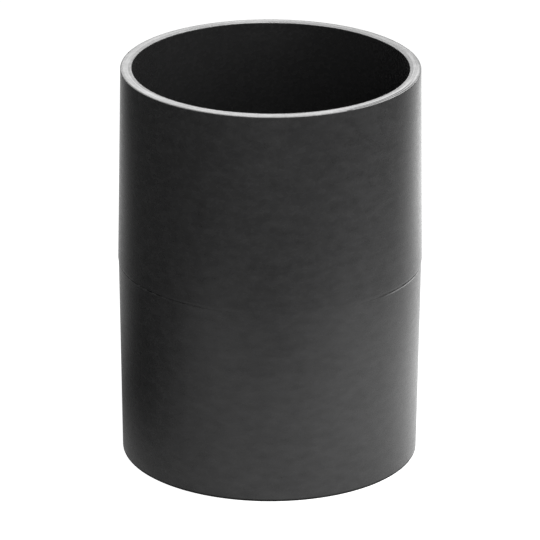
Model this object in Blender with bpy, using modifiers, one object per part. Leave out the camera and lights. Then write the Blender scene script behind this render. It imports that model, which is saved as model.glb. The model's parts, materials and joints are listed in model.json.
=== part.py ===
"""Double-socket PVC conduit coupling, moulded in one piece and standing on one end.

Metres, +Z along the bore. The origin is the centre of the end that it stands on.
"""

import math

import bmesh
import bpy

MM = 0.001

# The conduit that both sockets take
CONDUIT_DIAMETER = 114.3 * MM
MOUTH_CLEARANCE = 0.6 * MM  # on diameter, where the conduit goes in
SEAT_INTERFERENCE = 0.3 * MM  # on diameter, where the conduit wedges home at the stop

# Sockets, and the stop ring between them
SOCKET_DEPTH = 82.5 * MM
STOP_WIDTH = 3.5 * MM
STOP_HEIGHT = 3.0 * MM  # about one conduit wall, so the bore runs on flush
STOP_EDGE_RADIUS = 0.3 * MM

# Outer wall: each half swells from its mouth to the seam, which is the mould's draft
MOUTH_WALL = 4.7 * MM
SEAM_SWELL = 1.4 * MM  # growth in radius of the upper half
SEAM_STEP = 0.3 * MM  # how much smaller in radius the lower half is at the seam

# Seam at mid-height, where the two mould halves meet
SEAM_EASE_HEIGHT = 1.2 * MM
SEAM_EASE_DEPTH = 0.15 * MM
SEAM_GROOVE_DEPTH = 0.15 * MM  # below the lower half's surface
SEAM_GROOVE_HEIGHT = 0.3 * MM  # each side of the seam

# Faced ends: a flat land, a shallow lead-in band inside it, and broken edges
LEAD_IN_WIDTH = 1.4 * MM
LEAD_IN_DEPTH = 0.1 * MM
MOUTH_OUTER_RADIUS = 0.35 * MM
MOUTH_INNER_RADIUS = 0.2 * MM

# Fineness of the mesh
STEPS_ROUND = 120
STEPS_PER_EDGE = 3
MERGE_DISTANCE = 0.001 * MM
SHARP_ANGLE = math.radians(20)

# Moulded walls are dark and satin, faced ends pale and dull; colours are linear
WALL_COLOUR = (0.025, 0.025, 0.026, 1.0)
WALL_ROUGHNESS = 0.35
FACED_COLOUR = (0.6, 0.6, 0.6, 1.0)
FACED_ROUGHNESS = 0.6
STEEPEST_FACED = math.radians(30)  # slope up to which a face at an end counts as faced

# Sizes that follow from those above
LENGTH = 2 * SOCKET_DEPTH + STOP_WIDTH
SEAM_Z = LENGTH / 2
MOUTH_BORE_RADIUS = (CONDUIT_DIAMETER + MOUTH_CLEARANCE) / 2
SEAT_RADIUS = (CONDUIT_DIAMETER - SEAT_INTERFERENCE) / 2
STOP_RADIUS = SEAT_RADIUS - STOP_HEIGHT
MOUTH_OUTER_WALL_RADIUS = MOUTH_BORE_RADIUS + MOUTH_WALL
UPPER_SEAM_RADIUS = MOUTH_OUTER_WALL_RADIUS + SEAM_SWELL
LOWER_SEAM_RADIUS = UPPER_SEAM_RADIUS - SEAM_STEP


def clear_scene():
    for obj in list(bpy.data.objects):
        bpy.data.objects.remove(obj, do_unlink=True)


def new_collection(name):
    collection = bpy.data.collections.new(name)
    bpy.context.scene.collection.children.link(collection)
    return collection


def plastic(name, colour, roughness):
    material = bpy.data.materials.new(name)
    material.use_nodes = True
    shader = material.node_tree.nodes["Principled BSDF"]
    shader.inputs["Base Color"].default_value = colour
    shader.inputs["Roughness"].default_value = roughness
    shader.inputs["Metallic"].default_value = 0.0
    return material


def mirrored_end(points):
    """The same points on the other end of the coupling, in the order that carries on round."""
    return [(radius, LENGTH - z, edge) for radius, z, edge in reversed(points)]


def section_corners():
    """Corners of the wall's section as (radius, z, edge radius): down the outside, up the bore."""
    seam = [
        (UPPER_SEAM_RADIUS, SEAM_Z + SEAM_EASE_HEIGHT, 0),
        (UPPER_SEAM_RADIUS - SEAM_EASE_DEPTH, SEAM_Z + SEAM_GROOVE_HEIGHT, 0),
        (LOWER_SEAM_RADIUS - SEAM_GROOVE_DEPTH, SEAM_Z, 0),
        (LOWER_SEAM_RADIUS, SEAM_Z - SEAM_GROOVE_HEIGHT, 0),
    ]
    lower_mouth = [
        (MOUTH_OUTER_WALL_RADIUS, 0, MOUTH_OUTER_RADIUS),
        (MOUTH_BORE_RADIUS + LEAD_IN_WIDTH, 0, 0),
        (MOUTH_BORE_RADIUS, LEAD_IN_DEPTH, MOUTH_INNER_RADIUS),
    ]
    lower_stop = [
        (SEAT_RADIUS, SOCKET_DEPTH, 0),
        (STOP_RADIUS, SOCKET_DEPTH, STOP_EDGE_RADIUS),
    ]
    upper_mouth = mirrored_end(lower_mouth)
    return seam + lower_mouth + lower_stop + mirrored_end(lower_stop) + upper_mouth


def rounded_corner(before, corner, after):
    """The points that replace a corner: an arc tangent to both of its sides."""
    radius, z, edge = corner
    if edge == 0:
        return [(radius, z)]
    back = math.atan2(before[1] - z, before[0] - radius)
    ahead = math.atan2(after[1] - z, after[0] - radius)
    opening = (ahead - back) % math.tau
    opening = opening - math.tau if opening > math.pi else opening
    reach = edge / math.sin(abs(opening) / 2)
    middle = back + opening / 2
    centre = (radius + reach * math.cos(middle), z + reach * math.sin(middle))
    turn = math.copysign(math.pi - abs(opening), -opening)
    start = middle + math.pi - turn / 2
    return [
        (centre[0] + edge * math.cos(angle), centre[1] + edge * math.sin(angle))
        for angle in (start + turn * step / STEPS_PER_EDGE for step in range(STEPS_PER_EDGE + 1))
    ]


def section_outline():
    corners = section_corners()
    outline = []
    for index, corner in enumerate(corners):
        before = corners[index - 1]
        after = corners[(index + 1) % len(corners)]
        outline += rounded_corner(before, corner, after)
    return outline


def section_mesh(name):
    """The wall's section as one closed ring of edges in the XZ plane."""
    sketch = bmesh.new()
    points = [sketch.verts.new((radius, 0, z)) for radius, z in section_outline()]
    for index, point in enumerate(points):
        sketch.edges.new((points[index - 1], point))
    mesh = bpy.data.meshes.new(name)
    sketch.to_mesh(mesh)
    sketch.free()
    return mesh


def turn_round_z(obj):
    screw = obj.modifiers.new("Turned wall", "SCREW")
    screw.axis = "Z"
    screw.angle = math.tau
    screw.steps = STEPS_ROUND
    screw.render_steps = STEPS_ROUND
    screw.use_merge_vertices = True
    screw.merge_threshold = MERGE_DISTANCE


def solid_from_modifiers(obj):
    """Replaces the sketch and its modifiers by the mesh that they make."""
    graph = bpy.context.evaluated_depsgraph_get()
    mesh = bpy.data.meshes.new_from_object(obj.evaluated_get(graph))
    mesh.name = obj.name
    obj.modifiers.clear()
    obj.data = mesh


def paint(mesh):
    """Dark moulded walls, and paler ends where they were faced flat."""
    mesh.materials.clear()
    mesh.materials.append(plastic("Dark moulded PVC", WALL_COLOUR, WALL_ROUGHNESS))
    mesh.materials.append(plastic("Pale faced PVC", FACED_COLOUR, FACED_ROUGHNESS))
    for face in mesh.polygons:
        height = face.center.z
        at_an_end = height < LEAD_IN_DEPTH or height > LENGTH - LEAD_IN_DEPTH
        nearly_level = abs(face.normal.z) > math.cos(STEEPEST_FACED)
        face.material_index = int(at_an_end and nearly_level)


def make_coupling(collection):
    coupling = bpy.data.objects.new("coupling", section_mesh("coupling"))
    collection.objects.link(coupling)
    turn_round_z(coupling)
    solid_from_modifiers(coupling)
    paint(coupling.data)
    coupling.data.shade_smooth()
    coupling.data.set_sharp_from_angle(angle=SHARP_ANGLE)


def main():
    clear_scene()
    make_coupling(new_collection("Conduit coupling"))


main()
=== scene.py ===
"""Looks of the PVC conduit coupling: its moulding and finish, a white table top, soft lights and the camera.

Metres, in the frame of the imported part: +Z along the bore, origin on the floor under its centre.
Azimuths run round +Z from +X, so the side nearest the camera is at -90 degrees.
"""

import json
import math

import bmesh
import bpy
from mathutils import Euler, Matrix, Vector, noise

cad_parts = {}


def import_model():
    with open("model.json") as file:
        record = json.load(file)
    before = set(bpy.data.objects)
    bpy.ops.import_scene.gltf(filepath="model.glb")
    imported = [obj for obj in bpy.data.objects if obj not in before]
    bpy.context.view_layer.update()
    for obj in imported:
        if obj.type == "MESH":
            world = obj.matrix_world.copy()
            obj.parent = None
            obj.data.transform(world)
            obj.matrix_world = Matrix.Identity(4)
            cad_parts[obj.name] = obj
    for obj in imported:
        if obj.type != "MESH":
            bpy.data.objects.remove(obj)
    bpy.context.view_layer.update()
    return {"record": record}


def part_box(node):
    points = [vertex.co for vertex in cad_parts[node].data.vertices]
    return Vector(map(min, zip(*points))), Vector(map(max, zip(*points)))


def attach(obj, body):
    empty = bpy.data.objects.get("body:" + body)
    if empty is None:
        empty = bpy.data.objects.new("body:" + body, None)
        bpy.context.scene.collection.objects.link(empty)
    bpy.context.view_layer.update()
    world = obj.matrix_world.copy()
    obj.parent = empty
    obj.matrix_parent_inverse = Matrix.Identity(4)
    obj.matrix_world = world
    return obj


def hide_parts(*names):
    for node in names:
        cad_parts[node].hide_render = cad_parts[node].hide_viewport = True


MM = 0.001

# The moulding's section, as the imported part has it
MOUTH_OUTER_WALL_RADIUS = 62.15 * MM
MOUTH_BORE_RADIUS = 57.45 * MM
SEAT_RADIUS = 57.0 * MM
STOP_RADIUS = 54.0 * MM
SEAM_STEP = 0.3 * MM
SEAM_EASE_HEIGHT = 1.2 * MM
SEAM_EASE_DEPTH = 0.15 * MM
SEAM_GROOVE_DEPTH = 0.15 * MM
SEAM_GROOVE_HEIGHT = 0.3 * MM
LEAD_IN_WIDTH = 1.4 * MM
LEAD_IN_DEPTH = 0.1 * MM
MOUTH_OUTER_RADIUS = 0.35 * MM
MOUTH_INNER_RADIUS = 0.2 * MM
STOP_EDGE_RADIUS = 0.3 * MM

# Fineness of the visible mesh
STEPS_ROUND = 432
STEPS_PER_EDGE = 6
TALLEST_ROW = 4.0 * MM
END_ROW = 0.25 * MM
SHORTEST_CUT_RUN = 1.0 * MM

# Slope up to which the wall near an end counts as cut by the facing tool
STEEPEST_FACED = math.radians(60)

# What moulding leaves: walls never quite true, and a seam that shows at the sides and fades in front
WAVE_LENGTH = 38 * MM
WAVE_DEPTH = 0.025 * MM
SEAM_FAINTEST = 0.02
SEAM_FADE_POWER = 3
SEAM_FAINT_AZIMUTH = math.radians(-78)
SEAM_UNEVENNESS = 0.35
SEAM_UNEVEN_TURNS = 5

# Layers in a noise: one for plain blotches, more for ragged ones
PLAIN = 1.0
USUAL = 2.0
RAGGED = 3.0

# Values that most of a noise lies between. The other ranges of noise are narrower or wider for contrast.
NOISE_RANGE = (0.3, 0.7)

# Moulded skin: dark, satin, softly mottled outside and more even in the bore
PVC_IOR = 1.54
SKIN_DARK = (0.0143, 0.0144, 0.0148, 1)
SKIN_LIGHT = (0.0325, 0.0326, 0.0331, 1)
SKIN_ROUGHNESS = (0.24, 0.30)
MOTTLE_LENGTH = 6.0 * MM
MOTTLE_FLATTENING = 2.0
MOTTLE_RANGE = (0.27, 0.73)
RIPPLE_LENGTH = 2.6 * MM
RIPPLE_FLATTENING = 1.25
RIPPLE_DEPTH = 0.013 * MM
GRAIN_LENGTH = 0.22 * MM
GRAIN_DEPTH = 0.004 * MM
BORE_SKIN = (0.030, 0.030, 0.0304, 1)
BORE_MOTTLING = 0.25
BORE_FADE = 1.0 * MM

# Sparse fine specks of dust and chalk
SPECK_SPACING = 9.0 * MM
SPECK_RADIUS = 0.28 * MM
SPECK_SHARE = 0.22
SPECK_COLOUR = (0.085, 0.085, 0.086, 1)

# A painted highlight under the seam on the right: a pale broken line where the lower lip of the seam catches
# the light
HIGHLIGHT_DROP = 0.5 * MM
HIGHLIGHT_HEIGHT = 0.65 * MM
HIGHLIGHT_ON_RIGHT_X = (46 * MM, 58 * MM)
HIGHLIGHT_BREAK_LENGTH = 3.0 * MM
HIGHLIGHT_BREAK_RANGE = (0.35, 0.6)
HIGHLIGHT_STRENGTH = (0.35, 1)
HIGHLIGHT_COLOUR = (0.45, 0.45, 0.45, 1)

# Painted shade in the seam, a thin dark line at both sides and gone in front, and a painted contact shadow
# along the base.
# The painted shade has no sheen, so it counts as a black metal, which an export keeps.
SEAM_SHADE_RISE = 0.1 * MM
SEAM_SHADE_HEIGHT = 0.85 * MM
SEAM_SHADE_ON_LEFT_X = (-40 * MM, -24 * MM)
SEAM_SHADE_ON_RIGHT_X = (40 * MM, 54 * MM)
SEAM_SHADE_BREAK_LENGTH = 4.0 * MM
SEAM_SHADE_BREAK_RANGE = (0.35, 0.55)
SEAM_SHADE_STRENGTH = (0.45, 1)
BASE_SHADOW_HEIGHT = 1.15 * MM
BASE_SHADOW_BREAK_LENGTH = 6.0 * MM
BASE_SHADOW_BREAK_RANGE = (0.3, 0.6)
BASE_SHADOW_STRENGTH = (0.55, 0.95)
PAINTED_SHADE_COLOUR = (0.005, 0.005, 0.005, 1)
PAINTED_SHADE_ROUGHNESS = 0.7

# Faced ends: pale and dull, with the cutter's rings, and painted shade along both edges and over a stretch
# at the far right
FACED_DARK = (0.38, 0.38, 0.38, 1)
FACED_LIGHT = (0.86, 0.86, 0.86, 1)
FACED_TONE_RANGE = (0.25, 0.7)
FACED_ROUGHNESS = (0.5, 0.7)
RING_SPACING = 0.6 * MM
RING_ARCS = 3.0
RING_DEPTH = 0.03 * MM
RING_SHARE = 0.65
CLOUD_LENGTH = 2.5 * MM
CLOUD_RAGGEDNESS = 0.6
EDGE_PAINTED_SHADE = 0.16
# Centre of the painted shade along the lead-in, moved towards the back so that the shade is wider there
LEAD_IN_OFF_CENTRE = (-0.05 * MM, 0.65 * MM, 0)
OUTER_EDGE_WIDTH = 0.8 * MM
FAR_PAINTED_SHADE = 0.14
FAR_AZIMUTH = math.radians(38)
FAR_REACH = math.radians(55)

# Two deeper scores near the rim's outer edge, on the right in front, and a few nicks along that edge
SCORE_COLOUR = (0.08, 0.08, 0.08, 1)
SCORE_RADIUS = 60.5 * MM
SCORE_SPACING = 0.95 * MM
SCORE_WAVE_RANGE = (-0.6, 0.3)
SCORE_AZIMUTH = math.radians(-40)
SCORE_REACH = math.radians(26)
NICK_LENGTH = 5.0 * MM
NICK_RANGE = (0.66, 0.71)

# Camera: it looks down on the coupling from in front
CAMERA_DISTANCE = 1.958
CAMERA_HEIGHT = 0.8431
CAMERA_PITCH_DOWN = math.radians(21.33)
CAMERA_ROLL = math.radians(0.22)
CAMERA_LENS_MM = 334.4
SENSOR_MM = 36.0

# Table top, and the soft pools of light in it as (x, y, radius, strength)
FLOOR_SIZE = 8.0
FLOOR_WHITE = 0.8
FLOOR_BACKGROUND = 1.0
WHITE_IN_MIRRORS_FROM = (1.0, 1.5)
POOLS = (
    (0.128, -0.072, 0.285, 0.95),
    (0.202, 0.325, 0.390, 1.0),
    (0.018, 0.426, 0.453, 1.0),
    (-0.120, -0.190, 0.180, 0.40),
    (0.095, 0.080, 0.130, 0.38),
)

# Square soft lamps on the right and in front, aimed at the middle of the coupling
LAMP_AIM = (0, 0, 0.08)
KEY_PLACE = (0.55, -0.10, 0.50)
KEY_SIDE = 0.5
KEY_WATTS = 2.4
FRONT_PLACE = (0.0, -1.20, 0.50)
FRONT_SIDE = 0.6
FRONT_WATTS = 3.45

# A lamp far above, whose beam is just as wide as the upper end that it lights
BEAM_HEIGHT = 4.0
BEAM_SOFT_EDGE = 0.02
BEAM_SOURCE_RADIUS = 1.0 * MM
BEAM_WATTS = 362

# Where a mix node for colours keeps its two colours, and their blend
FIRST_COLOUR = 6
SECOND_COLOUR = 7
BLENDED_COLOUR = 2


def main():
    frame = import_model()
    make_camera()
    make_moulding(frame)
    make_floor()
    make_world()
    make_lamps(heights(frame)[0])
    set_view()


def heights(frame):
    """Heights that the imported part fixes: its length and the two shoulders of the stop."""
    mounts = {mount["name"]: mount["pos_m"][2] for mount in frame["record"]["mounts"]}
    return mounts["top_end"], mounts["lower_stop_shoulder"], mounts["upper_stop_shoulder"]


def section_corners(frame):
    """The wall's section as (radius, z, edge radius, seam pull): down the outside, then up the bore.

    The seam pull is how far in the seam takes the wall where it is sharpest.
    """
    length, stop_low, stop_high = heights(frame)
    seam_z = length / 2
    seam_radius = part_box("coupling")[1].x
    return [
        (seam_radius, seam_z + SEAM_EASE_HEIGHT, 0, 0),
        (seam_radius, seam_z + SEAM_GROOVE_HEIGHT, 0, SEAM_EASE_DEPTH),
        (seam_radius, seam_z, 0, SEAM_STEP + SEAM_GROOVE_DEPTH),
        (seam_radius, seam_z - SEAM_GROOVE_HEIGHT, 0, SEAM_STEP),
        (MOUTH_OUTER_WALL_RADIUS, 0, MOUTH_OUTER_RADIUS, 0),
        (MOUTH_BORE_RADIUS + LEAD_IN_WIDTH, 0, 0, 0),
        (MOUTH_BORE_RADIUS, LEAD_IN_DEPTH, MOUTH_INNER_RADIUS, 0),
        (SEAT_RADIUS, stop_low, 0, 0),
        (STOP_RADIUS, stop_low, STOP_EDGE_RADIUS, 0),
        (STOP_RADIUS, stop_high, STOP_EDGE_RADIUS, 0),
        (SEAT_RADIUS, stop_high, 0, 0),
        (MOUTH_BORE_RADIUS, length - LEAD_IN_DEPTH, MOUTH_INNER_RADIUS, 0),
        (MOUTH_BORE_RADIUS + LEAD_IN_WIDTH, length, 0, 0),
        (MOUTH_OUTER_WALL_RADIUS, length, MOUTH_OUTER_RADIUS, 0),
    ]


def rounded_corner(before, corner, after):
    """The points that replace a corner: an arc tangent to both of its sides."""
    radius, z, edge, _ = corner
    if edge == 0:
        return [(radius, z)]
    back = math.atan2(before[1] - z, before[0] - radius)
    ahead = math.atan2(after[1] - z, after[0] - radius)
    opening = (ahead - back) % math.tau
    opening = opening - math.tau if opening > math.pi else opening
    reach = edge / math.sin(abs(opening) / 2)
    middle = back + opening / 2
    centre = (radius + reach * math.cos(middle), z + reach * math.sin(middle))
    turn = math.copysign(math.pi - abs(opening), -opening)
    start = middle + math.pi - turn / 2
    points = []
    for step in range(STEPS_PER_EDGE + 1):
        angle = start + turn * step / STEPS_PER_EDGE
        points.append((centre[0] + edge * math.cos(angle), centre[1] + edge * math.sin(angle)))
    return points


def row_shares(run):
    """Where a straight run is cut, as shares of it. Narrow rows at its ends keep an edge's shading there."""
    if run < SHORTEST_CUT_RUN:
        return []
    rows = math.ceil(run / TALLEST_ROW)
    return [END_ROW / run] + [row / rows for row in range(1, rows)] + [1 - END_ROW / run]


def section_outline(frame):
    """Every point of the section as (radius, z, seam pull, crisp)."""
    corners = section_corners(frame)
    bends = []
    for index, corner in enumerate(corners):
        after = corners[(index + 1) % len(corners)]
        points = rounded_corner(corners[index - 1], corner, after)
        bends += [(radius, z, corner[3], len(points) == 1) for radius, z in points]
    outline = []
    for index, bend in enumerate(bends):
        after = bends[(index + 1) % len(bends)]
        outline.append(bend)
        for share in row_shares(math.dist(bend[:2], after[:2])):
            between = [start + (end - start) * share for start, end in zip(bend[:3], after[:3])]
            outline.append((*between, False))
    return outline


def seam_strength(azimuth):
    """How sharp the seam is: near full at the two sides, faintest in front and at the back, never even."""
    away = abs(math.sin(azimuth - SEAM_FAINT_AZIMUTH))
    place = Vector((math.cos(azimuth), math.sin(azimuth), 0)) * SEAM_UNEVEN_TURNS
    evenness = 1 - SEAM_UNEVENNESS * (1 + noise.noise(place)) / 2
    return (SEAM_FAINTEST + (1 - SEAM_FAINTEST) * away ** SEAM_FADE_POWER) * evenness


def untrue(radius, azimuth, z):
    """Departure of a moulded wall from a true cone, never outwards."""
    place = Vector((radius * math.cos(azimuth), radius * math.sin(azimuth), z)) / WAVE_LENGTH
    return (noise.noise(place) - 1) / 2 * WAVE_DEPTH


def is_faced(here, after, length):
    """Whether the stretch of wall between two points of the section was cut when the ends were faced."""
    from_end = max(min(point[1], length - point[1]) for point in (here, after))
    slope = math.atan2(abs(after[1] - here[1]), abs(after[0] - here[0]))
    outer_edge = here[0] > MOUTH_OUTER_WALL_RADIUS - MOUTH_OUTER_RADIUS
    return from_end <= (MOUTH_OUTER_RADIUS if outer_edge else LEAD_IN_DEPTH) and slope < STEEPEST_FACED


def add_rings(sketch, outline):
    """A ring of points round the bore for each point of the section."""
    azimuths = [math.tau * step / STEPS_ROUND for step in range(STEPS_ROUND)]
    strengths = [seam_strength(azimuth) for azimuth in azimuths]
    rings = []
    for radius, z, pull, _ in outline:
        ring = []
        for azimuth, strength in zip(azimuths, strengths):
            out = radius - pull * strength + untrue(radius, azimuth, z)
            ring.append(sketch.verts.new((out * math.cos(azimuth), out * math.sin(azimuth), z)))
        rings.append(ring)
    return rings


def add_faces(sketch, rings, outline, length):
    """The wall from each ring to the next, moulded or faced."""
    for index, ring in enumerate(rings):
        following = (index + 1) % len(rings)
        after = rings[following]
        faced = is_faced(outline[index], outline[following], length)
        for step in range(STEPS_ROUND):
            ahead = (step + 1) % STEPS_ROUND
            face = sketch.faces.new((ring[step], after[step], after[ahead], ring[ahead]))
            face.material_index = int(faced)
            face.smooth = True


def sharpen_corners(sketch, rings, outline):
    """Sharp shading along the rings where the section has a crisp corner."""
    for ring, (_, _, _, crisp) in zip(rings, outline):
        for step in range(STEPS_ROUND):
            sketch.edges.get((ring[step - 1], ring[step])).smooth = not crisp


def make_moulding(frame):
    """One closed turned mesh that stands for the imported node."""
    outline = section_outline(frame)
    length = heights(frame)[0]
    mesh = bpy.data.meshes.new("coupling_moulding")
    sketch = bmesh.new()
    rings = add_rings(sketch, outline)
    add_faces(sketch, rings, outline, length)
    sharpen_corners(sketch, rings, outline)
    sketch.to_mesh(mesh)
    sketch.free()
    moulding = bpy.data.objects.new("coupling_moulding", mesh)
    bpy.context.scene.collection.objects.link(moulding)
    mesh.materials.append(moulded_pvc(length / 2))
    mesh.materials.append(faced_pvc())
    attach(moulding, "root")
    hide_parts("coupling")


class Nodes:
    """Short ways to add and join nodes in one material, or in the world."""

    def __init__(self, owner):
        owner.use_nodes = True
        self.nodes = owner.node_tree.nodes
        self.links = owner.node_tree.links
        self.shader = self.nodes.get("Principled BSDF")

    def add(self, kind, **settings):
        node = self.nodes.new(kind)
        for name, value in settings.items():
            setattr(node, name, value)
        return node

    def join(self, source, target):
        self.links.new(source, target)

    def place(self, stretch=(1, 1, 1)):
        """The piece's own coordinates, in metres, with each axis stretched."""
        where = self.add("ShaderNodeTexCoord").outputs["Object"]
        if stretch == (1, 1, 1):
            return where
        mapping = self.add("ShaderNodeMapping")
        mapping.inputs["Scale"].default_value = stretch
        self.join(where, mapping.inputs["Vector"])
        return mapping.outputs["Vector"]

    def noise(self, where, length, layers=USUAL, raggedness=0.5):
        """Smooth noise with blotches about as wide as length."""
        texture = self.add("ShaderNodeTexNoise")
        texture.inputs["Scale"].default_value = 1 / length
        texture.inputs["Detail"].default_value = layers
        texture.inputs["Roughness"].default_value = raggedness
        self.join(where, texture.inputs["Vector"])
        return texture.outputs["Fac"]

    def fit(self, value, low, high, to_low, to_high, smooth=False):
        """The value moved from one range to another, held inside it."""
        ranged = self.add("ShaderNodeMapRange")
        ranged.interpolation_type = "SMOOTHSTEP" if smooth else "LINEAR"
        for name, number in zip(("From Min", "From Max", "To Min", "To Max"), (low, high, to_low, to_high)):
            ranged.inputs[name].default_value = number
        self.join(value, ranged.inputs["Value"])
        return ranged.outputs["Result"]

    def maths(self, operation, *terms):
        """One step of arithmetic. Each term is a number or another node's output."""
        step = self.add("ShaderNodeMath", operation=operation)
        for socket, term in zip(step.inputs, terms):
            if isinstance(term, (int, float)):
                socket.default_value = term
            else:
                self.join(term, socket)
        return step.outputs["Value"]

    def total(self, first, *others):
        for other in others:
            first = self.maths("ADD", first, other)
        return first

    def product(self, first, *others):
        for other in others:
            first = self.maths("MULTIPLY", first, other)
        return first

    def blend(self, share, first, second):
        """A colour between two, each a colour or another node's output."""
        mix = self.add("ShaderNodeMix", data_type="RGBA")
        self.join(share, mix.inputs["Factor"])
        for index, colour in ((FIRST_COLOUR, first), (SECOND_COLOUR, second)):
            if isinstance(colour, tuple):
                mix.inputs[index].default_value = colour
            else:
                self.join(colour, mix.inputs[index])
        return mix.outputs[BLENDED_COLOUR]

    def bump(self, height, depth, under=None):
        """A normal bent by a height of 0 to 1 that stands for depth metres."""
        bump = self.add("ShaderNodeBump")
        bump.inputs["Strength"].default_value = 1.0
        bump.inputs["Distance"].default_value = depth
        self.join(height, bump.inputs["Height"])
        if under is not None:
            self.join(under, bump.inputs["Normal"])
        return bump.outputs["Normal"]


def moulded_pvc(seam_z):
    material = bpy.data.materials.new("moulded_pvc")
    tree = Nodes(material)
    # Painted shade: a dark line in the seam and a contact shadow along the base, as a black metal that
    # reflects nothing
    seam_and_base_shade = tree.maths("MAXIMUM", painted_seam_shade(tree, seam_z), painted_base_shadow(tree))
    speckled = tree.blend(specks(tree), skin_colour(tree), SPECK_COLOUR)
    shaded = tree.blend(seam_and_base_shade, speckled, PAINTED_SHADE_COLOUR)
    # A painted highlight under the seam on the right
    tree.join(tree.blend(painted_seam_highlight(tree, seam_z), shaded, HIGHLIGHT_COLOUR), tree.shader.inputs["Base Color"])
    tree.join(seam_and_base_shade, tree.shader.inputs["Metallic"])
    ripple = tree.noise(tree.place((1, 1, RIPPLE_FLATTENING)), RIPPLE_LENGTH)
    skin_roughness = tree.fit(ripple, *NOISE_RANGE, *SKIN_ROUGHNESS)
    shade_roughness = tree.product(seam_and_base_shade, PAINTED_SHADE_ROUGHNESS)
    tree.join(tree.maths("MAXIMUM", skin_roughness, shade_roughness), tree.shader.inputs["Roughness"])
    grain = tree.noise(tree.place(), GRAIN_LENGTH, PLAIN)
    coarse = tree.bump(ripple, RIPPLE_DEPTH)
    tree.join(tree.bump(grain, GRAIN_DEPTH, coarse), tree.shader.inputs["Normal"])
    tree.shader.inputs["IOR"].default_value = PVC_IOR
    return material


def skin_colour(tree):
    """The clean skin: mottled outside, and more even in the bore."""
    mottle = tree.noise(tree.place((1, 1, MOTTLE_FLATTENING)), MOTTLE_LENGTH, RAGGED)
    mottled = tree.blend(tree.fit(mottle, *MOTTLE_RANGE, 0, 1), SKIN_DARK, SKIN_LIGHT)
    bore_end = MOUTH_BORE_RADIUS + BORE_FADE
    outside = tree.fit(from_axis(tree), MOUTH_BORE_RADIUS, bore_end, BORE_MOTTLING, 1)
    return tree.blend(outside, BORE_SKIN, mottled)


def level_band(tree, z, height):
    """A level line round the wall with soft edges, and the coordinate that runs across the wall's front."""
    axes = tree.add("ShaderNodeSeparateXYZ")
    tree.join(tree.place(), axes.inputs["Vector"])
    away = tree.maths("ABSOLUTE", tree.total(axes.outputs["Z"], -z))
    return tree.fit(away, height / 4, height / 2, 1, 0), axes.outputs["X"]


def painted_seam_highlight(tree, seam_z):
    """Where the painted highlight shows: a pale broken line just under the seam, on the right only, where
    the lower lip catches the light.
    """
    band, x = level_band(tree, seam_z - HIGHLIGHT_DROP, HIGHLIGHT_HEIGHT)
    side = tree.fit(x, *HIGHLIGHT_ON_RIGHT_X, 0, 1)
    breaks = tree.noise(tree.place(), HIGHLIGHT_BREAK_LENGTH)
    return tree.product(band, side, tree.fit(breaks, *HIGHLIGHT_BREAK_RANGE, *HIGHLIGHT_STRENGTH))


def painted_seam_shade(tree, seam_z):
    """How strong the painted shade in the seam is at each place: a thin dark line at both sides, gone in
    front.
    """
    band, x = level_band(tree, seam_z + SEAM_SHADE_RISE, SEAM_SHADE_HEIGHT)
    side = tree.total(tree.fit(x, *SEAM_SHADE_ON_LEFT_X, 1, 0), tree.fit(x, *SEAM_SHADE_ON_RIGHT_X, 0, 1))
    breaks = tree.noise(tree.place(), SEAM_SHADE_BREAK_LENGTH)
    return tree.product(band, side, tree.fit(breaks, *SEAM_SHADE_BREAK_RANGE, *SEAM_SHADE_STRENGTH))


def painted_base_shadow(tree):
    """How strong the painted contact shadow along the lowest edge of the wall is at each place."""
    band, _ = level_band(tree, 0, 2 * BASE_SHADOW_HEIGHT)
    breaks = tree.noise(tree.place(), BASE_SHADOW_BREAK_LENGTH)
    return tree.product(band, tree.fit(breaks, *BASE_SHADOW_BREAK_RANGE, *BASE_SHADOW_STRENGTH))


def specks(tree):
    """A dot in some cells of a Voronoi pattern."""
    cells = tree.add("ShaderNodeTexVoronoi")
    cells.inputs["Scale"].default_value = 1 / SPECK_SPACING
    tree.join(tree.place(), cells.inputs["Vector"])
    radius = SPECK_RADIUS / SPECK_SPACING
    dot = tree.fit(cells.outputs["Distance"], radius / 2, radius, 1, 0)
    return tree.product(dot, tree.maths("LESS_THAN", cells.outputs["Color"], SPECK_SHARE))


def faced_pvc():
    material = bpy.data.materials.new("faced_pvc")
    tree = Nodes(material)
    flat = tree.place((1, 1, 0))
    radius = from_axis(tree)
    outer_start = MOUTH_OUTER_WALL_RADIUS - OUTER_EDGE_WIDTH
    outer_edge = tree.fit(radius, outer_start, outer_start + OUTER_EDGE_WIDTH / 2, 0, 1)
    rings = cutter_rings(tree, flat, radius)
    cloud = tree.noise(tree.place(), CLOUD_LENGTH, RAGGED, CLOUD_RAGGEDNESS)
    tone = tree.total(tree.product(rings, RING_SHARE), tree.product(cloud, 1 - RING_SHARE))
    # The end's tone, with painted shade along its edges and at the far right
    shade = tree.fit(tree.total(tone, painted_end_shade(tree, flat, outer_edge)), *FACED_TONE_RANGE, 0, 1)
    cut = tree.blend(shade, FACED_DARK, FACED_LIGHT)
    worn = tree.maths("MAXIMUM", scores(tree, flat, radius), nicks(tree, outer_edge))
    tree.join(tree.blend(worn, cut, SCORE_COLOUR), tree.shader.inputs["Base Color"])
    tree.join(tree.fit(cloud, *NOISE_RANGE, *FACED_ROUGHNESS), tree.shader.inputs["Roughness"])
    tree.join(tree.bump(rings, RING_DEPTH), tree.shader.inputs["Normal"])
    tree.shader.inputs["IOR"].default_value = PVC_IOR
    return material


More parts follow.
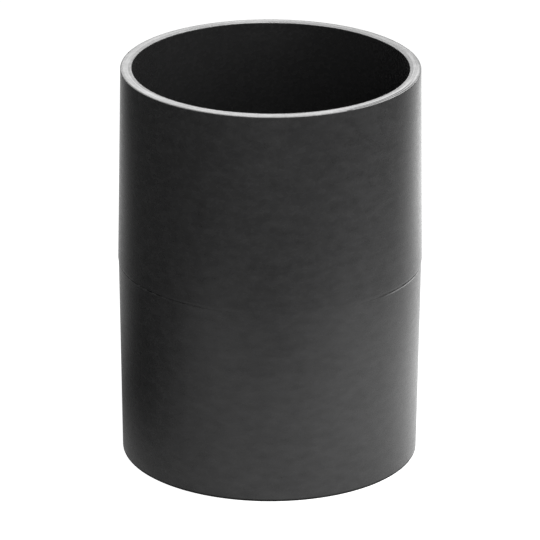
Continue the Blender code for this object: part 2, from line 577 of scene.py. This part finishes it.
def painted_end_shade(tree, flat, outer_edge):
    """Painted shade taken off the faced end's tone: along its two edges, where the lead-in and the outer
    rounding turn away from the light, and over a stretch at the far right.
    """
    lead_in_end = MOUTH_BORE_RADIUS + LEAD_IN_WIDTH
    off_centre = distance_to(tree, flat, LEAD_IN_OFF_CENTRE)
    lead_in = tree.fit(off_centre, lead_in_end, lead_in_end + LEAD_IN_WIDTH / 4, 1, 0)
    edges = tree.product(tree.total(lead_in, outer_edge), -EDGE_PAINTED_SHADE)
    far_side = tree.product(stretch_round(tree, flat, FAR_AZIMUTH, FAR_REACH), -FAR_PAINTED_SHADE)
    return tree.total(edges, far_side)


def from_axis(tree):
    return distance_to(tree, tree.place((1, 1, 0)), (0, 0, 0))


def distance_to(tree, where, centre):
    away = tree.add("ShaderNodeVectorMath", operation="DISTANCE")
    tree.join(where, away.inputs[0])
    away.inputs[1].default_value = centre
    return away.outputs["Value"]


def direction_round(tree, flat):
    """Which way a place lies from the axis, as a vector of length 1."""
    direction = tree.add("ShaderNodeVectorMath", operation="NORMALIZE")
    tree.join(flat, direction.inputs[0])
    return direction.outputs["Vector"]


def stretch_round(tree, flat, azimuth, reach):
    """A stretch of the end round an azimuth: all of it to half the reach, none of it from the reach on."""
    along = tree.add("ShaderNodeVectorMath", operation="DOT_PRODUCT")
    tree.join(direction_round(tree, flat), along.inputs[0])
    along.inputs[1].default_value = (math.cos(azimuth), math.sin(azimuth), 0)
    return tree.fit(along.outputs["Value"], math.cos(reach), math.cos(reach / 2), 0, 1)


def cutter_rings(tree, flat, radius):
    """Fine rings broken into long arcs: noise that changes fast along the radius and slowly round it."""
    slow = tree.add("ShaderNodeVectorMath", operation="SCALE")
    slow.inputs["Scale"].default_value = RING_ARCS
    tree.join(direction_round(tree, flat), slow.inputs[0])
    fast = tree.add("ShaderNodeCombineXYZ")
    tree.join(tree.product(radius, 1 / RING_SPACING), fast.inputs["Z"])
    where = tree.add("ShaderNodeVectorMath", operation="ADD")
    tree.join(slow.outputs["Vector"], where.inputs[0])
    tree.join(fast.outputs["Vector"], where.inputs[1])
    return tree.noise(where.outputs["Vector"], 1.0)


def scores(tree, flat, radius):
    """Where the two deeper scores run: the crests of a wave along the radius, fading out at both ends."""
    wave = tree.maths("COSINE", tree.product(tree.total(radius, -SCORE_RADIUS), math.tau / SCORE_SPACING))
    lines = tree.fit(wave, *SCORE_WAVE_RANGE, 0, 1)
    outside = tree.fit(radius, SCORE_RADIUS - SCORE_SPACING / 2, SCORE_RADIUS - SCORE_SPACING / 4, 0, 1)
    return tree.product(lines, outside, stretch_round(tree, flat, SCORE_AZIMUTH, SCORE_REACH))


def nicks(tree, outer_edge):
    """A few short dark nicks in the outer edge."""
    chance = tree.noise(tree.place(), NICK_LENGTH, PLAIN)
    return tree.product(tree.fit(chance, *NICK_RANGE, 0, 1), outer_edge)


def make_floor():
    bpy.ops.mesh.primitive_plane_add(size=FLOOR_SIZE)
    floor = bpy.context.object
    floor.name = "floor"
    floor.data.materials.append(white_floor())


def white_floor():
    """A white table top: plain white to the camera, and to mirror rays too beyond the pools of light."""
    material = bpy.data.materials.new("white_floor")
    tree = Nodes(material)
    tree.nodes.clear()
    paper = tree.add("ShaderNodeBsdfDiffuse")
    paper.inputs["Color"].default_value = (FLOOR_WHITE, FLOOR_WHITE, FLOOR_WHITE, 1)
    rays = tree.add("ShaderNodeLightPath").outputs
    mirrored = tree.total(rays["Is Glossy Ray"], rays["Is Transmission Ray"])
    far = tree.fit(from_axis(tree), *WHITE_IN_MIRRORS_FROM, 0, FLOOR_BACKGROUND)
    shown = tree.add("ShaderNodeMix")
    tree.join(rays["Is Camera Ray"], shown.inputs["Factor"])
    tree.join(tree.maths("MAXIMUM", pools_of_light(tree), tree.product(mirrored, far)), shown.inputs["A"])
    shown.inputs["B"].default_value = FLOOR_BACKGROUND
    emission = tree.add("ShaderNodeEmission")
    tree.join(shown.outputs["Result"], emission.inputs["Strength"])
    both = tree.add("ShaderNodeAddShader")
    tree.join(paper.outputs[0], both.inputs[0])
    tree.join(emission.outputs[0], both.inputs[1])
    tree.join(both.outputs[0], tree.add("ShaderNodeOutputMaterial").inputs["Surface"])
    return material


def pools_of_light(tree):
    """How strongly the table top shines at each place, all pools added up."""
    pools = []
    for x, y, radius, strength in POOLS:
        away = distance_to(tree, tree.place(), (x, y, 0))
        pools.append(tree.fit(away, 0, radius, strength, 0, smooth=True))
    return tree.total(*pools)


def make_world():
    """A dark room that shows white to the camera, in mirrors and through glass."""
    world = bpy.data.worlds.new("studio")
    bpy.context.scene.world = world
    tree = Nodes(world)
    tree.nodes.clear()
    rays = tree.add("ShaderNodeLightPath").outputs
    shown = tree.total(rays["Is Glossy Ray"], rays["Is Transmission Ray"], rays["Is Camera Ray"])
    white = tree.add("ShaderNodeBackground")
    white.inputs["Color"].default_value = (1, 1, 1, 1)
    tree.join(shown, white.inputs["Strength"])
    tree.join(white.outputs[0], tree.add("ShaderNodeOutputWorld").inputs["Surface"])


def hang(light, place, aim):
    """Puts a light at a place, turned towards its aim."""
    lamp = bpy.data.objects.new(light.name, light)
    lamp.location = place
    lamp.rotation_mode = "QUATERNION"
    lamp.rotation_quaternion = (Vector(aim) - Vector(place)).to_track_quat("-Z", "Y")
    bpy.context.scene.collection.objects.link(lamp)


def make_soft_lamp(name, place, side, watts):
    light = bpy.data.lights.new(name, "AREA")
    light.shape = "SQUARE"
    light.size = side
    light.energy = watts
    hang(light, place, LAMP_AIM)


def make_beam(name, length):
    light = bpy.data.lights.new(name, "SPOT")
    light.spot_size = 2 * math.atan(MOUTH_OUTER_WALL_RADIUS / (BEAM_HEIGHT - length))
    light.spot_blend = BEAM_SOFT_EDGE
    light.shadow_soft_size = BEAM_SOURCE_RADIUS
    light.energy = BEAM_WATTS
    hang(light, (0, 0, BEAM_HEIGHT), (0, 0, 0))


def make_lamps(length):
    make_soft_lamp("key_right", KEY_PLACE, KEY_SIDE, KEY_WATTS)
    make_soft_lamp("front", FRONT_PLACE, FRONT_SIDE, FRONT_WATTS)
    make_beam("over_end", length)


def make_camera():
    camera_data = bpy.data.cameras.new("camera")
    camera_data.sensor_width = SENSOR_MM
    camera_data.lens = CAMERA_LENS_MM
    camera = bpy.data.objects.new("camera", camera_data)
    tilt = Euler((math.pi / 2 - CAMERA_PITCH_DOWN, 0, 0)).to_matrix()
    camera.rotation_euler = (tilt @ Matrix.Rotation(CAMERA_ROLL, 3, "Z")).to_euler()
    camera.location = (0, -CAMERA_DISTANCE, CAMERA_HEIGHT)
    bpy.context.scene.collection.objects.link(camera)
    bpy.context.scene.camera = camera


def set_view():
    bpy.context.scene.view_settings.view_transform = "Standard"


main()
